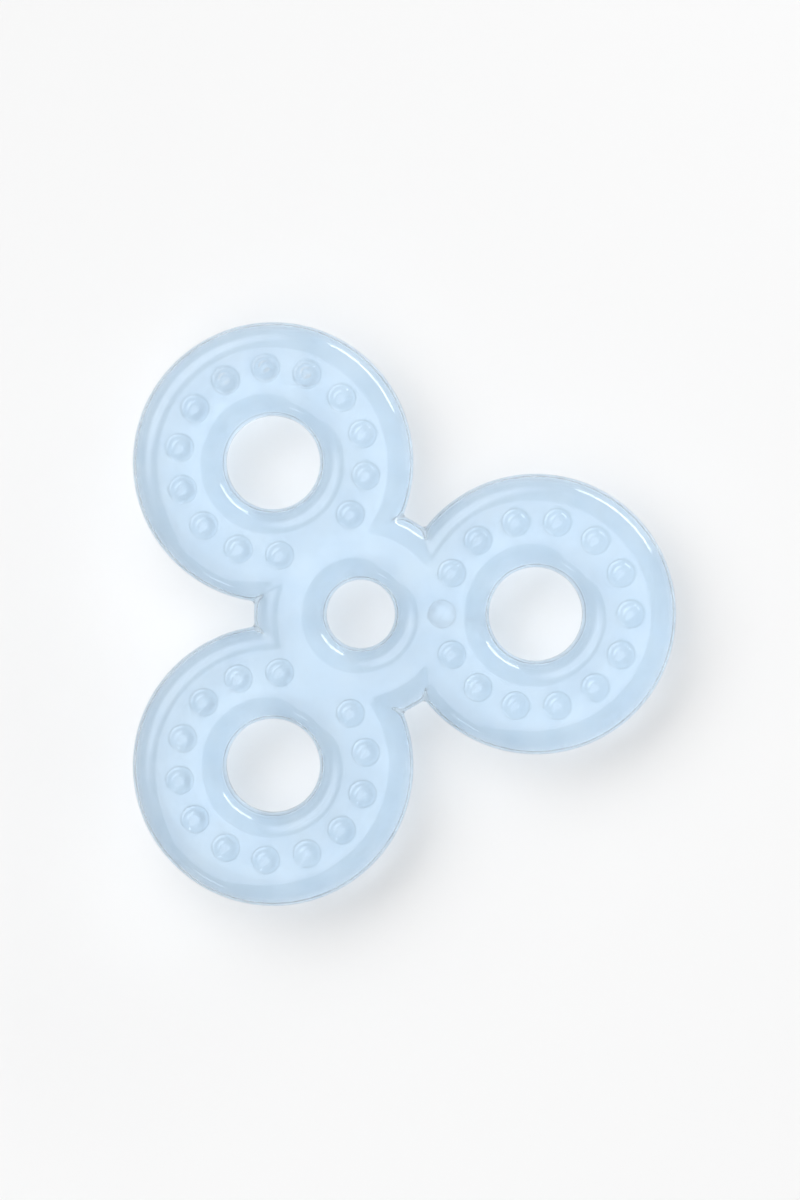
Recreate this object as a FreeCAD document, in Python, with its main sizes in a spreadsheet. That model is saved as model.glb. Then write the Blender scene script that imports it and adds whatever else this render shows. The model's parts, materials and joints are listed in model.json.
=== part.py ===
"""A liquid-filled teething ring: three finger rings round a smaller hub ring, in one flat body.

The body is two soft shells, front and back, from one mould, welded face to face in the plane Z = 0.
Both carry the same chewing nubs. One sealed chamber runs through the rings and the hub. A plug in
the back shell closes the port that the chamber is filled through.

The origin is on the hub's axis, in the seam plane. +Z is the front face and +X points at one
finger ring. Sizes are in millimetres.
"""
import FreeCAD, Part
import os

import Sketcher

OUTPUT_FOLDER = "parts"
RING_COUNT = 3
FULL_TURN = 360
X_AXIS = FreeCAD.Vector(1, 0, 0)
TURNED_OVER = FreeCAD.Rotation(X_AXIS, FULL_TURN / 2)

# The numbers that a sketch constraint knows things by: the sketch's own axes and an edge's two ends.
SKETCH_X_AXIS, SKETCH_Y_AXIS = -1, -2
START, END = 1, 2

# Driving dimensions: alias, value, meaning.
DIMENSIONS = [
    ("ring_diameter", 51.0, "outside of each finger ring"),
    ("ring_hole", 17.0, "opening of each finger ring"),
    ("hub_diameter", 38.8, "outside of the hub ring"),
    ("hub_hole", 12.4, "opening of the hub ring"),
    ("arm_length", 31.8, "hub axis to ring axis"),
    ("body_thickness", 11.8, "flat front face to flat back face"),
    ("edge_radius", 5.0, "rounding of every rim"),
    ("wall_thickness", 2.1, "shell wall all round the chamber"),
    ("nub_positions", 14, "equal divisions of the nub circle; the one nearest the hub stays plain"),
    ("nub_diameter", 4.1, "chewing nub"),
    ("nub_height", 0.9, "nub above the flat face"),
    ("nub_round", 0.7, "rounding of the nub's top edge"),
    ("nub_root", 0.5, "depth that the nub is sunk into the wall"),
    ("fill_gap", 0.02, "shell to liquid"),
    ("port_diameter", 3.4, "filling port"),
    ("seat_diameter", 5.0, "seat of the plug's head, round the port"),
    ("seat_depth", 0.8, "seat of the plug's head, below the flat face"),
    ("plug_gap", 0.02, "plug to port and seat, on the radius and under the head"),
]

# Sizes that several features share, as expressions.
FLAT_FACE = "Sizes.body_thickness / 2"
CHAMBER_ROOF = "Sizes.body_thickness / 2 - Sizes.wall_thickness"
SEAT_FLOOR = "Sizes.body_thickness / 2 - Sizes.seat_depth"
NUB_CIRCLE_RADIUS = "(Sizes.ring_diameter + Sizes.ring_hole) / 4"
NUB_STEP = f"{FULL_TURN} / Sizes.nub_positions"
PORT_PLACE = f"Sizes.arm_length - {NUB_CIRCLE_RADIUS}"


# ---------------------------------------------------------------- document and sketches

def make_sheet(document):
    """Spreadsheet of the driving dimensions, one row each."""
    sheet = document.addObject("Spreadsheet::Sheet", "Sizes")
    for row, (alias, value, meaning) in enumerate(DIMENSIONS, start=1):
        sheet.set(f"A{row}", meaning)
        sheet.set(f"B{row}", str(value))
        sheet.setAlias(f"B{row}", alias)
    document.recompute()


def make_body(document, label):
    """Empty body whose label names its file."""
    body = document.addObject("PartDesign::Body", label)
    body.Label = label
    return body


def make_sketch(body, name, offsets):
    """Sketch in the body's XZ plane, moved along its own axes by the expressions in offsets."""
    sketch = body.newObject("Sketcher::SketchObject", name)
    plane = next(f for f in body.Origin.OriginFeatures if f.Role == "XZ_Plane")
    sketch.AttachmentSupport = (plane, [""])
    sketch.MapMode = "FlatFace"
    for axis, expression in offsets.items():
        sketch.setExpression(f"AttachmentOffset.Base.{axis}", expression)
    return sketch


def value_of(sketch, expression):
    """Present value of an expression, where None stands for zero."""
    return sketch.evalExpression(expression) if expression else 0


def bind(sketch, kind, places, expression):
    """Adds a dimension to the sketch and lets the expression drive its value."""
    index = sketch.addConstraint(Sketcher.Constraint(kind, *places, value_of(sketch, expression)))
    sketch.setExpression(f"Constraints[{index}]", expression)


def add_side(sketch, axis, place, start, end):
    """Line at right angles to one of the sketch's axes, held at its place along that axis."""
    line = sketch.addGeometry(Part.LineSegment(start, end))
    sketch.addConstraint(Sketcher.Constraint("Vertical" if axis == "X" else "Horizontal", line))
    if place:
        bind(sketch, f"Distance{axis}", (SKETCH_X_AXIS, START, line, START), place)
    else:
        zero_line = SKETCH_Y_AXIS if axis == "X" else SKETCH_X_AXIS
        sketch.addConstraint(Sketcher.Constraint("PointOnObject", line, START, zero_line))
    return line


def add_rounding(sketch, line, following, corner, radius):
    """Quarter circle from the end of one line to the start of the next, round their corner."""
    start, end = sketch.getPoint(line, END), sketch.getPoint(following, START)
    centre = start + end - corner
    middle = centre + (corner - centre).normalize() * value_of(sketch, radius)
    arc = sketch.addGeometry(Part.Arc(start, middle, end))
    sketch.addConstraint(Sketcher.Constraint("Tangent", line, END, arc, START))
    sketch.addConstraint(Sketcher.Constraint("Tangent", arc, END, following, START))
    bind(sketch, "Radius", (arc,), radius)


def draw_outline(sketch, sides):
    """Closed outline of upright and level lines in turn, counterclockwise.

    Each side is (axis, place, radius): a line at right angles to that axis at that place along it,
    and the radius of the corner that it ends in. Without a place the line is on the sketch's other
    axis, and without a radius the corner is sharp.
    """
    corners = []
    for side, following in zip(sides, sides[1:] + sides[:1]):
        places = {side[0]: side[1], following[0]: following[1]}
        corners.append(FreeCAD.Vector(value_of(sketch, places["X"]), value_of(sketch, places["Y"]), 0))

    lines = []
    for number, (axis, place, radius) in enumerate(sides):
        along = (corners[number] - corners[number - 1]).normalize()
        start = corners[number - 1] + along * value_of(sketch, sides[number - 1][2])
        end = corners[number] - along * value_of(sketch, radius)
        lines.append(add_side(sketch, axis, place, start, end))

    for line, following, corner, side in zip(lines, lines[1:] + lines[:1], corners, sides):
        if side[2]:
            add_rounding(sketch, line, following, corner, side[2])
        else:
            sketch.addConstraint(Sketcher.Constraint("Coincident", line, END, following, START))


# ---------------------------------------------------------------- features

def revolve(body, kind, name, sides, **offsets):
    """Turns an outline right round its sketch's upright axis. kind is Revolution or Groove."""
    sketch = make_sketch(body, f"{name}_section", offsets)
    draw_outline(sketch, sides)
    feature = body.newObject(f"PartDesign::{kind}", name)
    feature.Profile = sketch
    feature.ReferenceAxis = (sketch, ["V_Axis"])
    feature.Angle = FULL_TURN
    return feature


def add_polar_pattern(body, name, axis_feature):
    """Pattern round the axis that another feature was revolved round, once per finger ring."""
    pattern = body.newObject("PartDesign::PolarPattern", name)
    pattern.Axis = axis_feature.ReferenceAxis
    pattern.Angle = FULL_TURN
    pattern.Occurrences = RING_COUNT
    return pattern


def ring_section(hole, outside, inset, whole):
    """Section of a ring, drawn inset from its true size: the whole of it, or only its upper half."""
    radius = f"Sizes.edge_radius - {inset}"
    top = f"{FLAT_FACE} - {inset}"
    return [
        ("Y", f"-({top})" if whole else None, radius if whole else None),
        ("X", f"{outside} / 2 - {inset}", radius),
        ("Y", top, radius),
        ("X", f"{hole} / 2 + {inset}", radius if whole else None),
    ]


def add_rings(body, kind, name, inset="0", whole=False):
    """Hub ring and the finger rings round it, added to the body or cut from it."""
    hub_section = ring_section("Sizes.hub_hole", "Sizes.hub_diameter", inset, whole)
    hub = revolve(body, kind, f"{name}_hub", hub_section)
    finger_section = ring_section("Sizes.ring_hole", "Sizes.ring_diameter", inset, whole)
    ring = revolve(body, kind, f"{name}_ring", finger_section, x="Sizes.arm_length")
    pattern = add_polar_pattern(body, f"{name}_ring_pattern", hub)
    pattern.Originals = [ring]
    body.Tip = pattern
    return hub, ring


def add_nubs(body, hub, ring):
    """Chewing nubs on each finger ring, at every division of the nub circle but the one at the hub."""
    section = [
        ("Y", f"{FLAT_FACE} - Sizes.nub_root", None),
        ("X", "Sizes.nub_diameter / 2", "Sizes.nub_round"),
        ("Y", f"{FLAT_FACE} + Sizes.nub_height", None),
        ("X", None, None),
    ]
    first_x = f"Sizes.arm_length - {NUB_CIRCLE_RADIUS} * cos({NUB_STEP})"
    first_z = f"{NUB_CIRCLE_RADIUS} * sin({NUB_STEP})"
    nub = revolve(body, "Revolution", "nub", section, x=first_x, z=first_z)

    nubs = body.newObject("PartDesign::MultiTransform", "nubs")
    nubs.Originals = [nub]
    round_ring = add_polar_pattern(body, "nubs_round_ring", ring)
    round_ring.setExpression("Occurrences", "Sizes.nub_positions - 1")
    round_ring.setExpression("Angle", f"{FULL_TURN} - 2 * {NUB_STEP}")
    round_hub = add_polar_pattern(body, "nubs_round_hub", hub)
    nubs.Transformations = [round_ring, round_hub]
    body.Tip = nubs


def plug_section(bottom, top, gap="0"):
    """Half section of the plug: a shank up to the seat and a wider head above it."""
    return [
        ("Y", bottom, None),
        ("X", f"Sizes.port_diameter / 2 - {gap}", None),
        ("Y", f"{SEAT_FLOOR} + {gap}", None),
        ("X", f"Sizes.seat_diameter / 2 - {gap}", None),
        ("Y", top, None),
        ("X", None, None),
    ]


# ---------------------------------------------------------------- the four pieces

def make_shell(document, label):
    """One half of the body with its face up: rings, the chamber's half and the nubs."""
    body = make_body(document, label)
    hub, ring = add_rings(body, "Revolution", "outside")
    add_rings(body, "Groove", "chamber", inset="Sizes.wall_thickness")
    add_nubs(body, hub, ring)
    return body


def make_front_shell(document):
    """Front half."""
    return make_shell(document, "front_shell")


def make_back_shell(document):
    """Back half: the same moulding with the filling port, turned over."""
    body = make_shell(document, "back_shell")
    inside_chamber = f"({CHAMBER_ROOF}) / 2"
    above_face = f"{FLAT_FACE} + Sizes.nub_height"
    revolve(body, "Groove", "port", plug_section(inside_chamber, above_face), x=PORT_PLACE)
    body.Placement.Rotation = TURNED_OVER
    return body


def make_fill_plug(document):
    """Plug that closes the port. Its head is flush with the back face, its shank with the chamber."""
    body = make_body(document, "fill_plug")
    section = plug_section(CHAMBER_ROOF, FLAT_FACE, "Sizes.plug_gap")
    revolve(body, "Revolution", "plug", section, x=PORT_PLACE)
    body.Placement.Rotation = TURNED_OVER
    return body


def make_cooling_fill(document):
    """Liquid that fills the chamber."""
    body = make_body(document, "cooling_fill")
    add_rings(body, "Revolution", "liquid", inset="(Sizes.wall_thickness + Sizes.fill_gap)", whole=True)
    return body


# ---------------------------------------------------------------- checks and files

def check(document, bodies):
    """Stops if any feature failed, or if any piece isn't one valid solid."""
    for feature in document.Objects:
        assert not {"Invalid", "Error"} & set(feature.State), f"{feature.Label} is {feature.State}"
    for body in bodies:
        shape = body.Shape
        assert not shape.isNull() and shape.isValid(), f"{body.Label} has no valid shape"
        assert len(shape.Solids) == 1, f"{body.Label} has {len(shape.Solids)} solids"


def export(bodies):
    """Writes one STEP file per piece."""
    os.makedirs(OUTPUT_FOLDER, exist_ok=True)
    for body in bodies:
        body.Shape.exportStep(os.path.join(OUTPUT_FOLDER, f"{body.Label}.step"))


def main():
    document = FreeCAD.newDocument("teething_ring")
    make_sheet(document)
    bodies = [
        make_front_shell(document),
        make_back_shell(document),
        make_cooling_fill(document),
        make_fill_plug(document),
    ]
    document.recompute()
    check(document, bodies)
    export(bodies)


main()
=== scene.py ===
"""The looks of the liquid-filled teething ring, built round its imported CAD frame.

The shells' and the liquid's surfaces come from fields: functions that are negative inside a piece
and positive outside it. A grid finds roughly where a field is zero, and each vertex is then moved
onto it, so rims, creases and nubs are smooth at any size. The plug and its port are turned. Lengths
are in metres, in the frame's own axes.
"""

import json
import math

import bmesh
import bpy
import numpy as np
from mathutils import Matrix, Vector


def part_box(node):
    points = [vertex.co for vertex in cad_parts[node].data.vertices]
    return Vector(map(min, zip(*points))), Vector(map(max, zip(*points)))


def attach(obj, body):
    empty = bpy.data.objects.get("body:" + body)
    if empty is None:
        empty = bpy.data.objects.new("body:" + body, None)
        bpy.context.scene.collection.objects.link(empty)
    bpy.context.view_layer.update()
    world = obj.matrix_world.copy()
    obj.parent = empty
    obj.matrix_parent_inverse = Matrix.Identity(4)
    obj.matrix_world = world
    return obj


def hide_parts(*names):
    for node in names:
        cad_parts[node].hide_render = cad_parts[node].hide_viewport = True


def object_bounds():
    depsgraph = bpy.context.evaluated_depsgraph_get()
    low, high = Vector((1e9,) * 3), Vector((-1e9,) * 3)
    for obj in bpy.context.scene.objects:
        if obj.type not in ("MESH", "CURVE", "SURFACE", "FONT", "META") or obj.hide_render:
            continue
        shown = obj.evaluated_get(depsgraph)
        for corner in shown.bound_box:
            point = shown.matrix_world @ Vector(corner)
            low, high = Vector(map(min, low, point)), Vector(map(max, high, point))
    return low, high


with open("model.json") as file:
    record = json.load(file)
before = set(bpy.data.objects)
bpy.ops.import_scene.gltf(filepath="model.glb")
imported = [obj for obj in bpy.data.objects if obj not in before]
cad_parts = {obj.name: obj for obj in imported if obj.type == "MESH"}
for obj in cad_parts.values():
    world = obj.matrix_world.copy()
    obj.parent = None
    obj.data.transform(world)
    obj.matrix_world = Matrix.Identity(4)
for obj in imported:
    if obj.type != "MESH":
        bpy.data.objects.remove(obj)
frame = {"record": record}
cad_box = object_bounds()
mounts = {mount["name"]: mount for mount in frame["record"]["mounts"]}

# ---------------------------------------------------------------- sizes read from the frame

MM = 0.001
RING_COUNT = 3
SHELL_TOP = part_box("front_shell")[1]
ARM = mounts["ring_hole_a"]["pos_m"][0]
RING_RADIUS = SHELL_TOP.x - ARM
RING_HOLE_RADIUS = mounts["ring_hole_a"]["dims"]["r_mm"] * MM
HUB_HOLE_RADIUS = mounts["hub_hole"]["dims"]["r_mm"] * MM
FACE_HEIGHT = -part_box("fill_plug")[0].z
RIM_ROUNDING = FACE_HEIGHT - mounts["hub_hole"]["dims"]["length_mm"] * MM / 2
FILL_INSET = FACE_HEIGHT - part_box("cooling_fill")[1].z
NUB_TOP = SHELL_TOP.z
NUB_CIRCLE_RADIUS = (RING_RADIUS + RING_HOLE_RADIUS) / 2
PORT_X = ARM - NUB_CIRCLE_RADIUS
SEAT_RADIUS = (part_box("fill_plug")[1].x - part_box("fill_plug")[0].x) / 2

# ---------------------------------------------------------------- sizes that the frame doesn't give

HUB_RADIUS = 19.4 * MM
FILL_GAP = 0.02 * MM
WALL = FILL_INSET - FILL_GAP
NUB_RADIUS = 1.95 * MM
NUB_ROUNDING = 1.3 * MM
NUB_FILLET = 0.9 * MM
NUB_POSITIONS = 14
NUB_STEP = 2 * math.pi / NUB_POSITIONS
LAST_NUB = NUB_POSITIONS // 2
CREASE_FILLET = 0.8 * MM
SEAM_DEPTH = 0.04 * MM
SEAM_HALF_WIDTH = 0.3 * MM
PORT_RADIUS = 1.7 * MM
PORT_GAP = 0.02 * MM
SEAT_FLOOR = -FACE_HEIGHT + 0.8 * MM
HEAD_ROUNDING = 0.03 * MM

# Each shell's weld face stands this far from the seam plane, so that the two never coincide.
SEAM_GAP = 0.005 * MM

# ---------------------------------------------------------------- meshing

GRID_STEP = 0.6 * MM
GRID_SPARE_CELLS = 2
NUDGE = 0.001 * MM

# Squared slope of a field below which a point moves only part of the way, as in a sharp corner.
LEAST_STEEPNESS = 0.25

RELAX_ROUNDS = 6
PROJECT_ROUNDS = 2
NUB_SPLIT_MARGIN = 0.9 * MM
NUB_RELAX_MARGIN = 0.63 * MM
NUB_CUTS = 2
LATHE_SEGMENTS = 96

# The shells' and the plug's materials, by their number on the mesh.
OUTSIDE, INSIDE, SEAM, PORT = range(4)

# ---------------------------------------------------------------- looks

PLASTIC_IOR = 1.45
LIQUID_IOR = 1.41
SKIN_TRANSMISSION = 0.97

# Pale and deep tint of the shells' skin, the chamber wall and the liquid's surface.
SHELL_PALE = (0.765, 0.83, 0.88)
SHELL_DEEP = (0.695, 0.775, 0.84)
CHAMBER_PALE = (0.96, 0.985, 1.0)
CHAMBER_DEEP = (0.92, 0.96, 1.0)
LIQUID_PALE = (0.72, 0.85, 0.96)
LIQUID_DEEP = (0.64, 0.8, 0.95)

# Colour and strength of the liquid's own absorption, and how much of its surface is milky.
LIQUID_TINT = (0.6, 0.82, 1.0)
LIQUID_DENSITY = 15
MILKINESS = 0.1

# What is left of the studio's light each time that it passes the skin straight on.
LAMP_TINT = (0.74, 0.745, 0.75)
CLEAR = (1, 1, 1)

# Sizes of the noise's lumps, how high they stand on the skin, and the range of each roughness.
PATCH_SIZE = 6 * MM
GRAIN_SIZE = 1.2 * MM
CHAMBER_CLOUD_SIZE = 5 * MM
LIQUID_CLOUD_SIZE = 9 * MM
PATCH_HEIGHT = 0.03 * MM
SKIN_ROUGHNESS = (0.06, 0.16)
CHAMBER_ROUGHNESS = (0.03, 0.1)

# The noise's usual range, and how many finer layers it has.
NOISE_LOW, NOISE_HIGH = 0.3, 0.7
NOISE_DETAIL = 2

# The studio: brightness of the walls and of one wide window, the window's bearing, height and half
# sides in degrees, and the share of its half side where it starts to fade.
WALLS, WINDOW = 0.24, 3.8
WINDOW_TURN, WINDOW_RISE = 138, 44
WINDOW_WIDE, WINDOW_TALL = 55, 26
WINDOW_FADE = 0.4

# Stretch along the window's bearing, which leaves that direction out of the distance to its middle.
FAR = 1000

# The lamps: name, bearing from +X and height in degrees, distance, sides, and power in watts. The
# flat faces mirror the overhead one, and the rims mirror the low ones as streaks.
LAMPS = [
    ("rim_streak", 48, 10, 0.8, (0.6, 0.14), 3.2),
    ("low_streak", 240, 11, 0.8, (0.2, 0.08), 0.25),
    ("overhead", 232, 66.5, 1.09, (0.5, 1.28), 4.4),
]

# The picture: the object's share of its height, and where the camera aims, in object heights.
LENS = 135
OBJECT_SHARE = 0.486
AIM_X, AIM_Y = -0.0077, 0.024


# ---------------------------------------------------------------- fields

def soft_min(first, second, width):
    """Smaller of two fields, with the corner between them filled over that width."""
    share = np.clip(0.5 + 0.5 * (second - first) / width, 0, 1)
    return second + (first - second) * share - width * share * (1 - share)


def fold(points):
    """Plan position of each point, folded onto the half sector that holds half of the +X ring."""
    x, y = points[..., 0], points[..., 1]
    sector = 2 * math.pi / RING_COUNT
    turn = np.abs((np.arctan2(y, x) + sector / 2) % sector - sector / 2)
    radius = np.hypot(x, y)
    return radius * np.cos(turn), radius * np.sin(turn)


def plan_depth(points):
    """How far each point is inside the body's plan outline. It is zero on every rim."""
    x, y = fold(points)
    to_ring_axis = np.hypot(x - ARM, y)
    to_hub_axis = np.hypot(x, y)
    discs = soft_min(to_ring_axis - RING_RADIUS, to_hub_axis - HUB_RADIUS, CREASE_FILLET)
    holes = np.minimum(to_ring_axis - RING_HOLE_RADIUS, to_hub_axis - HUB_HOLE_RADIUS)
    return np.minimum(-discs, holes)


def plate(depth, height, half_thickness, rounding):
    """Field of a plate with rounded rims, from how far a point is inside its outline and its height."""
    across = rounding - depth
    up = np.abs(height) - (half_thickness - rounding)
    outside = np.hypot(np.maximum(across, 0), np.maximum(up, 0))
    return outside + np.minimum(np.maximum(across, up), 0) - rounding


def body_field(points, inset):
    """Rings and hub, without nubs, drawn in from the outside by the inset."""
    return plate(plan_depth(points) - inset, points[..., 2], FACE_HEIGHT - inset, RIM_ROUNDING - inset)


def nub_depth(points):
    """How far each point is inside the nearest nub's outline."""
    x, y = fold(points)
    angle = np.arctan2(y, ARM - x)
    number = np.clip(np.round(angle / NUB_STEP), 1, LAST_NUB)
    nub_x = ARM - NUB_CIRCLE_RADIUS * np.cos(number * NUB_STEP)
    nub_y = NUB_CIRCLE_RADIUS * np.sin(number * NUB_STEP)
    return NUB_RADIUS - np.hypot(x - nub_x, y - nub_y)


def outside_field(points):
    """Outer surface of the whole body, with its nubs and the fine groove at the seam."""
    groove = SEAM_DEPTH * np.clip(1 - np.abs(points[..., 2]) / SEAM_HALF_WIDTH, 0, 1)
    depth = plan_depth(points) - groove
    body = plate(depth, points[..., 2], FACE_HEIGHT, RIM_ROUNDING)
    nubs = plate(nub_depth(points), points[..., 2], NUB_TOP, NUB_ROUNDING)
    return soft_min(body, nubs, NUB_FILLET)


def chamber_field(points):
    """Inner surface of the shells."""
    return body_field(points, WALL)


def liquid_field(points):
    """Surface of the liquid."""
    return body_field(points, FILL_INSET)


# ---------------------------------------------------------------- meshes from fields

def project(field, points):
    """Moves points onto the field's zero surface, along its gradient."""
    for _ in range(PROJECT_ROUNDS):
        value = field(points)
        steps = [field(points + NUDGE * axis) - field(points - NUDGE * axis) for axis in np.eye(3)]
        gradient = np.stack(steps, -1) / (2 * NUDGE)
        steepness = np.maximum((gradient ** 2).sum(-1), LEAST_STEEPNESS)
        points = points - gradient * (value / steepness)[:, None]
    return points


def relax(points, edges, movable):
    """Moves each movable point to the middle of its neighbours."""
    here = np.concatenate([edges[:, 0], edges[:, 1]])
    there = np.concatenate([edges[:, 1], edges[:, 0]])
    sums = [np.bincount(here, points[there, axis], len(points)) for axis in range(3)]
    middle = np.stack(sums, -1) / np.maximum(np.bincount(here, minlength=len(points)), 1)[:, None]
    return np.where(movable[:, None], middle, points)


def grid_surface(field):
    """Points and quads of the zero surface: one point in each grid cell that the surface crosses.

    Cells are centred on multiples of the step, so that one layer of points is in the seam plane.
    """
    reach = [max(abs(low), abs(high)) for low, high in zip(*cad_box)]
    counts = [math.ceil(side / GRID_STEP) + GRID_SPARE_CELLS for side in reach]
    axes = [(np.arange(-count, count) + 0.5) * GRID_STEP for count in counts]
    nodes = np.stack(np.meshgrid(*axes, indexing="ij"), -1)
    inside = field(nodes) < 0

    cells = tuple(slice(0, size - 1) for size in inside.shape)
    corners = sum(np.roll(inside, (-i, -j, -k), (0, 1, 2))[cells].astype(int)
                  for i in (0, 1) for j in (0, 1) for k in (0, 1))
    crossed = (corners > 0) & (corners < 8)
    number = np.full(crossed.shape, -1)
    number[crossed] = np.arange(crossed.sum())
    points = nodes[cells][crossed] + GRID_STEP / 2

    quads = []
    for axis in range(3):
        change = np.diff(inside.astype(int), axis=axis)
        at = np.argwhere(change)
        one, other = np.eye(3, dtype=int)[[(axis + 1) % 3, (axis + 2) % 3]]
        around = (at, at - one, at - one - other, at - other)
        quad = np.stack([number[tuple(cell.T)] for cell in around], 1)
        enters = change[tuple(at.T)] > 0
        quad[enters] = quad[enters][:, ::-1]
        quads.append(quad)
    return points, np.concatenate(quads)


def relaxed(field, points, edges, movable):
    """Points evened out over the field's surface. Those in the seam plane stay in it."""
    in_seam = np.abs(points[:, 2]) < GRID_STEP / 4
    for _ in range(RELAX_ROUNDS):
        points = project(field, relax(points, edges, movable))
        points[in_seam, 2] = 0
    return points


def quad_edges(quads):
    """Every pair of neighbouring points in an array of quads, once."""
    pairs = np.concatenate([quads[:, [corner, (corner + 1) % 4]] for corner in range(4)])
    return np.unique(np.sort(pairs, axis=1), axis=0)


def closed_surface(field):
    """Points and quads of the whole zero surface, evened out."""
    points, quads = grid_surface(field)
    everywhere = np.ones(len(points), bool)
    return relaxed(field, points, quad_edges(quads), everywhere), quads


def upper_half(points, quads):
    """The part of a surface on and above the seam plane."""
    quads = quads[(points[quads][:, :, 2] >= 0).all(axis=1)]
    used = np.unique(quads)
    return points[used], np.searchsorted(used, quads)


def add_faces(bm, points, quads, material, inward=False):
    """Adds a surface to a bmesh. inward turns its faces round."""
    verts = [bm.verts.new(point) for point in points.tolist()]
    for quad in (quads[:, ::-1] if inward else quads).tolist():
        bm.faces.new([verts[index] for index in quad]).material_index = material


def refine_nubs(bm):
    """Splits the faces round every nub into a finer grid, and sets all new points on the outside."""
    bm.verts.ensure_lookup_table()
    bm.faces.ensure_lookup_table()
    centres = np.array([face.calc_center_median() for face in bm.faces])
    near = (nub_depth(centres) > -NUB_SPLIT_MARGIN) & (centres[:, 2] > FACE_HEIGHT / 2)
    edges = {edge for index in np.flatnonzero(near) for edge in bm.faces[index].edges}
    bmesh.ops.subdivide_edges(bm, edges=list(edges), cuts=NUB_CUTS, use_grid_fill=True)

    points = np.array([vert.co for vert in bm.verts])
    bm.verts.index_update()
    pairs = np.array([[vert.index for vert in edge.verts] for edge in bm.edges])
    movable = (nub_depth(points) > -NUB_RELAX_MARGIN) & (points[:, 2] > FACE_HEIGHT / 2)
    points = relaxed(outside_field, project(outside_field, points), pairs, movable)
    for vert, point in zip(bm.verts, points.tolist()):
        vert.co = point


def close_at_seam(bm):
    """Fills the flat ring between the outer and inner edges in the seam plane, facing down."""
    rim = [edge for edge in bm.edges if edge.is_boundary]
    filled = bmesh.ops.triangle_fill(bm, use_beauty=True, edges=rim, normal=(0, 0, -1))
    faces = [item for item in filled["geom"] if isinstance(item, bmesh.types.BMFace)]
    for face in faces:
        face.material_index = SEAM
        face.normal_update()
        if face.normal.z > 0:
            face.normal_flip()


def finish_mesh(bm, name, materials):
    """Turns a bmesh into a smooth mesh with those materials."""
    mesh = bpy.data.meshes.new(name)
    for material in materials:
        mesh.materials.append(material)
    bm.to_mesh(mesh)
    bm.free()
    mesh.shade_smooth()
    return mesh


def make_shell_mesh(name, materials):
    """One moulding, face up: the outside with its nubs, the chamber's half and the flat weld face."""
    bm = bmesh.new()
    add_faces(bm, *upper_half(*closed_surface(outside_field)), OUTSIDE)
    refine_nubs(bm)
    add_faces(bm, *upper_half(*closed_surface(chamber_field)), INSIDE, inward=True)
    close_at_seam(bm)
    for vert in bm.verts:
        vert.co.z = max(vert.co.z, SEAM_GAP)
    return finish_mesh(bm, name, materials)


def lathe(name, profile, numbers, materials):
    """Closed turned mesh round the port's axis.

    profile is (radius, height) points from the lower centre, out and up, to the upper centre, and
    numbers has the material number of each strip between two of them.
    """
    bm = bmesh.new()
    rings = []
    for radius, height in profile:
        count = LATHE_SEGMENTS if radius else 1
        turns = [2 * math.pi * number / count for number in range(count)]
        ring = [bm.verts.new((PORT_X + radius * math.cos(a), radius * math.sin(a), height)) for a in turns]
        rings.append(ring * (LATHE_SEGMENTS // count))
    for lower, upper, number in zip(rings, rings[1:], numbers):
        for here in range(LATHE_SEGMENTS):
            after = (here + 1) % LATHE_SEGMENTS
            corners = dict.fromkeys([lower[here], lower[after], upper[after], upper[here]])
            bm.faces.new(corners).material_index = number
    return finish_mesh(bm, name, materials)


# ---------------------------------------------------------------- pieces

def add_piece(name, mesh, node):
    """Puts a mesh in the scene in place of its CAD node."""
    piece = bpy.data.objects.new(name, mesh)
    bpy.context.scene.collection.objects.link(piece)
    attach(piece, "root")
    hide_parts(node)
    return piece


def cut_port(mesh, materials):
    """The back shell's mesh with the plug's port and seat cut out of it."""
    cutter_profile = [
        (0, -FACE_HEIGHT - WALL),
        (SEAT_RADIUS + PORT_GAP, -FACE_HEIGHT - WALL),
        (SEAT_RADIUS + PORT_GAP, SEAT_FLOOR),
        (PORT_RADIUS, SEAT_FLOOR),
        (PORT_RADIUS, -FACE_HEIGHT / 2),
        (0, -FACE_HEIGHT / 2),
    ]
    cutter_mesh = lathe("port_cutter", cutter_profile, [PORT] * 5, materials)
    cutter = bpy.data.objects.new("port_cutter", cutter_mesh)
    blank = bpy.data.objects.new("back_blank", mesh)
    for helper in (cutter, blank):
        bpy.context.scene.collection.objects.link(helper)
    cut = blank.modifiers.new("port", "BOOLEAN")
    cut.operation = "DIFFERENCE"
    cut.solver = "EXACT"
    cut.object = cutter
    shapes = bpy.context.evaluated_depsgraph_get()
    result = bpy.data.meshes.new_from_object(blank.evaluated_get(shapes))
    for helper in (cutter, blank):
        bpy.data.objects.remove(helper)
    return result


def make_shells(materials):
    """Front shell, and the same moulding turned over and cut for the plug."""
    front = make_shell_mesh("front_shell_skin", materials)
    back = front.copy()
    back.transform(Matrix.Rotation(math.pi, 4, "X"))
    add_piece("front_shell_skin", front, "front_shell")
    add_piece("back_shell_skin", cut_port(back, materials), "back_shell")


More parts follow.
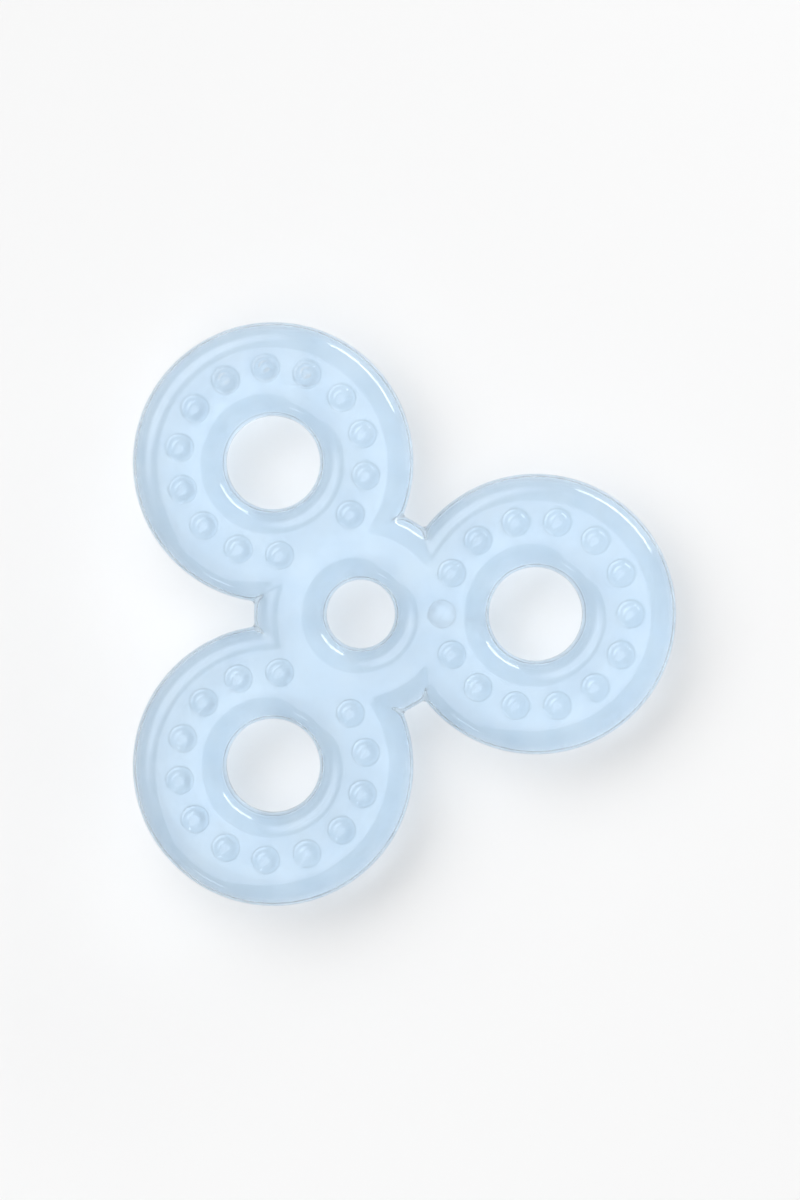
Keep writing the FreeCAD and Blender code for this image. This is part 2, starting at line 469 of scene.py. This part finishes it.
def make_plug(materials):
    """Plug with a slightly rounded head, seated in the back shell.

    It casts no shadow of its own, because Cycles lets light through only a few clear surfaces.
    """
    shank = PORT_RADIUS - PORT_GAP
    profile = [
        (0, -FACE_HEIGHT),
        (SEAT_RADIUS - 2 * HEAD_ROUNDING, -FACE_HEIGHT),
        (SEAT_RADIUS - HEAD_ROUNDING, -FACE_HEIGHT + 0.25 * HEAD_ROUNDING),
        (SEAT_RADIUS, -FACE_HEIGHT + HEAD_ROUNDING),
        (SEAT_RADIUS, SEAT_FLOOR - PORT_GAP),
        (shank, SEAT_FLOOR - PORT_GAP),
        (shank, WALL - FACE_HEIGHT),
        (0, WALL - FACE_HEIGHT),
    ]
    numbers = [OUTSIDE] * 3 + [SEAM] * 3 + [INSIDE]
    plug = add_piece("fill_plug_skin", lathe("fill_plug_skin", profile, numbers, materials), "fill_plug")
    plug.visible_shadow = False


def make_liquid(material):
    """Liquid that fills the chamber. The shells already tint the light that passes it."""
    points, quads = closed_surface(liquid_field)
    mesh = bpy.data.meshes.new("liquid_skin")
    mesh.from_pydata(points.tolist(), [], quads.tolist())
    mesh.materials.append(material)
    mesh.shade_smooth()
    add_piece("liquid_skin", mesh, "cooling_fill").visible_shadow = False


# ---------------------------------------------------------------- materials

def new_material(name):
    """Material with an empty node tree, and that tree's output node."""
    material = bpy.data.materials.new(name)
    material.use_nodes = True
    material.node_tree.nodes.clear()
    return material, material.node_tree.nodes.new("ShaderNodeOutputMaterial")


def noise(tree, size):
    """Noise in the object's own space whose lumps are about that size across."""
    nodes, links = tree.nodes, tree.links
    place = nodes.new("ShaderNodeTexCoord")
    texture = nodes.new("ShaderNodeTexNoise")
    texture.inputs["Scale"].default_value = 1 / size
    texture.inputs["Detail"].default_value = NOISE_DETAIL
    links.new(place.outputs["Object"], texture.inputs["Vector"])
    return texture.outputs["Fac"]


def between(tree, factor, low, high):
    """Value that runs from low to high as the noise goes through its usual range."""
    spread = tree.nodes.new("ShaderNodeMapRange")
    spread.inputs["From Min"].default_value = NOISE_LOW
    spread.inputs["From Max"].default_value = NOISE_HIGH
    spread.inputs["To Min"].default_value = low
    spread.inputs["To Max"].default_value = high
    tree.links.new(factor, spread.inputs["Value"])
    return spread.outputs["Result"]


def blend_colours(tree, factor, first, second):
    """Colour that runs from one to the other as the noise goes through its usual range."""
    ramp = tree.nodes.new("ShaderNodeValToRGB")
    ramp.color_ramp.elements[0].position = NOISE_LOW
    ramp.color_ramp.elements[0].color = (*first, 1)
    ramp.color_ramp.elements[1].position = NOISE_HIGH
    ramp.color_ramp.elements[1].color = (*second, 1)
    tree.links.new(factor, ramp.inputs["Fac"])
    return ramp.outputs["Color"]


def bump(tree, height, depth):
    """Normal of a surface that rises and falls by that depth."""
    node = tree.nodes.new("ShaderNodeBump")
    node.inputs["Distance"].default_value = depth
    tree.links.new(height, node.inputs["Height"])
    return node.outputs["Normal"]


def absorb(tree, output, colour, density):
    """Gives the inside of the material a tint that deepens with thickness."""
    volume = tree.nodes.new("ShaderNodeVolumeAbsorption")
    volume.inputs["Color"].default_value = (*colour, 1)
    volume.inputs["Density"].default_value = density
    tree.links.new(volume.outputs["Volume"], output.inputs["Volume"])


def finish_clear(tree, shader, output, tint):
    """Connects a clear shader, and lets the studio's light pass it straight on with that tint.

    Cycles would otherwise leave the table under clear plastic too dark.
    """
    through = tree.nodes.new("ShaderNodeBsdfTransparent")
    through.inputs["Color"].default_value = (*tint, 1)
    ray = tree.nodes.new("ShaderNodeLightPath")
    pick = tree.nodes.new("ShaderNodeMixShader")
    tree.links.new(ray.outputs["Is Shadow Ray"], pick.inputs["Fac"])
    tree.links.new(shader.outputs["BSDF"], pick.inputs[1])
    tree.links.new(through.outputs["BSDF"], pick.inputs[2])
    tree.links.new(pick.outputs["Shader"], output.inputs["Surface"])


def outside_material():
    """Soft clear plastic with a faint satin skin, slightly milky and pale blue."""
    material, output = new_material("soft_plastic_outside")
    tree = material.node_tree
    shader = tree.nodes.new("ShaderNodeBsdfPrincipled")
    shader.inputs["IOR"].default_value = PLASTIC_IOR
    shader.inputs["Transmission Weight"].default_value = SKIN_TRANSMISSION
    patches = noise(tree, PATCH_SIZE)
    grain = noise(tree, GRAIN_SIZE)
    tree.links.new(blend_colours(tree, patches, SHELL_PALE, SHELL_DEEP), shader.inputs["Base Color"])
    tree.links.new(between(tree, grain, *SKIN_ROUGHNESS), shader.inputs["Roughness"])
    tree.links.new(bump(tree, patches, PATCH_HEIGHT), shader.inputs["Normal"])
    finish_clear(tree, shader, output, LAMP_TINT)
    return material


def inside_material():
    """Chamber wall, where light passes from the plastic into the liquid."""
    material, output = new_material("soft_plastic_inside")
    tree = material.node_tree
    shader = tree.nodes.new("ShaderNodeBsdfPrincipled")
    clouds = noise(tree, CHAMBER_CLOUD_SIZE)
    tree.links.new(blend_colours(tree, clouds, CHAMBER_PALE, CHAMBER_DEEP), shader.inputs["Base Color"])
    shader.inputs["IOR"].default_value = PLASTIC_IOR / LIQUID_IOR
    shader.inputs["Transmission Weight"].default_value = 1
    tree.links.new(between(tree, clouds, *CHAMBER_ROUGHNESS), shader.inputs["Roughness"])
    finish_clear(tree, shader, output, CLEAR)
    return material


def joined_material(name, lamp_tint):
    """Faces that two pieces share, where light goes straight on."""
    material, output = new_material(name)
    clear = material.node_tree.nodes.new("ShaderNodeBsdfTransparent")
    finish_clear(material.node_tree, clear, output, lamp_tint)
    return material


def liquid_material():
    """Tinted liquid. Its surface is all but clear, because the chamber wall already bends the light."""
    material, output = new_material("cooling_liquid")
    tree = material.node_tree
    shader = tree.nodes.new("ShaderNodeBsdfPrincipled")
    shader.inputs["IOR"].default_value = LIQUID_IOR
    shader.inputs["Roughness"].default_value = 0.4
    shader.inputs["Specular IOR Level"].default_value = 0
    shader.inputs["Alpha"].default_value = MILKINESS
    clouds = noise(tree, LIQUID_CLOUD_SIZE)
    tree.links.new(blend_colours(tree, clouds, LIQUID_PALE, LIQUID_DEEP), shader.inputs["Base Color"])
    tree.links.new(shader.outputs["BSDF"], output.inputs["Surface"])
    absorb(tree, output, LIQUID_TINT, LIQUID_DENSITY)
    return material


def floor_material():
    """Plain pale table."""
    material, output = new_material("floor")
    shader = material.node_tree.nodes.new("ShaderNodeBsdfPrincipled")
    shader.inputs["Base Color"].default_value = (0.9, 0.9, 0.9, 1)
    shader.inputs["Roughness"].default_value = 0.8
    shader.inputs["Specular IOR Level"].default_value = 0.1
    material.node_tree.links.new(shader.outputs["BSDF"], output.inputs["Surface"])
    return material


# ---------------------------------------------------------------- studio

def make_floor(low):
    """Large plane under the lowest nubs."""
    half = 3.0
    mesh = bpy.data.meshes.new("floor")
    corners = [(-half, -half, low.z), (half, -half, low.z), (half, half, low.z), (-half, half, low.z)]
    mesh.from_pydata(corners, [], [(0, 1, 2, 3)])
    mesh.materials.append(floor_material())
    floor = bpy.data.objects.new("floor", mesh)
    bpy.context.scene.collection.objects.link(floor)


def add_softbox(name, turn, rise, distance, size, power, centre):
    """Area light aimed at the object, placed by its bearing, its height and its distance."""
    light = bpy.data.lights.new(name, "AREA")
    light.energy = power
    light.shape = "RECTANGLE"
    light.size, light.size_y = size
    lamp = bpy.data.objects.new(name, light)
    to_lamp = Matrix.Rotation(math.radians(turn), 3, "Z") @ Matrix.Rotation(-math.radians(rise), 3, "Y")
    away = to_lamp @ Vector((distance, 0, 0))
    lamp.location = centre + away
    lamp.rotation_mode = "QUATERNION"
    lamp.rotation_quaternion = away.to_track_quat("Z", "Y")
    bpy.context.scene.collection.objects.link(lamp)


def make_world():
    """White surroundings, with one wide soft window on one side."""
    world = bpy.data.worlds.new("studio")
    world.use_nodes = True
    nodes, links = world.node_tree.nodes, world.node_tree.links
    place = nodes.new("ShaderNodeTexCoord")
    from_middle = nodes.new("ShaderNodeMapping")
    from_middle.vector_type = "TEXTURE"
    from_middle.inputs["Rotation"].default_value = (0, -math.radians(WINDOW_RISE), math.radians(WINDOW_TURN))
    half_sides = (math.sin(math.radians(WINDOW_WIDE)), math.sin(math.radians(WINDOW_TALL)))
    from_middle.inputs["Scale"].default_value = (FAR, *half_sides)
    links.new(place.outputs["Generated"], from_middle.inputs["Vector"])
    distance = nodes.new("ShaderNodeVectorMath")
    distance.operation = "LENGTH"
    links.new(from_middle.outputs["Vector"], distance.inputs[0])
    glow = nodes.new("ShaderNodeMapRange")
    glow.interpolation_type = "SMOOTHSTEP"
    glow.inputs["From Min"].default_value = WINDOW_FADE
    glow.inputs["From Max"].default_value = 1
    glow.inputs["To Min"].default_value = WINDOW
    glow.inputs["To Max"].default_value = WALLS
    links.new(distance.outputs["Value"], glow.inputs["Value"])
    background = nodes["Background"]
    background.inputs["Color"].default_value = (1, 1, 1, 1)
    links.new(glow.outputs["Result"], background.inputs["Strength"])
    bpy.context.scene.world = world


def make_camera(low, high):
    """Long lens straight above, framed so that the object takes its share of the picture's height."""
    data = bpy.data.cameras.new("camera")
    data.lens = LENS
    camera = bpy.data.objects.new("camera", data)
    height = high.y - low.y
    middle = (low + high) / 2
    distance = height / OBJECT_SHARE * LENS / data.sensor_width
    camera.location = (middle.x + AIM_X * height, middle.y + AIM_Y * height, distance)
    bpy.context.scene.collection.objects.link(camera)
    bpy.context.scene.camera = camera


def main():
    weld = joined_material("weld", CLEAR)
    port = joined_material("port", LAMP_TINT)
    shell_materials = [outside_material(), inside_material(), weld, port]
    make_shells(shell_materials)
    make_plug(shell_materials)
    make_liquid(liquid_material())

    low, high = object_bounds()
    centre = (low + high) / 2
    make_floor(low)
    make_world()
    for lamp in LAMPS:
        add_softbox(*lamp, centre)
    make_camera(low, high)
    bpy.context.scene.view_settings.view_transform = "Standard"


main()
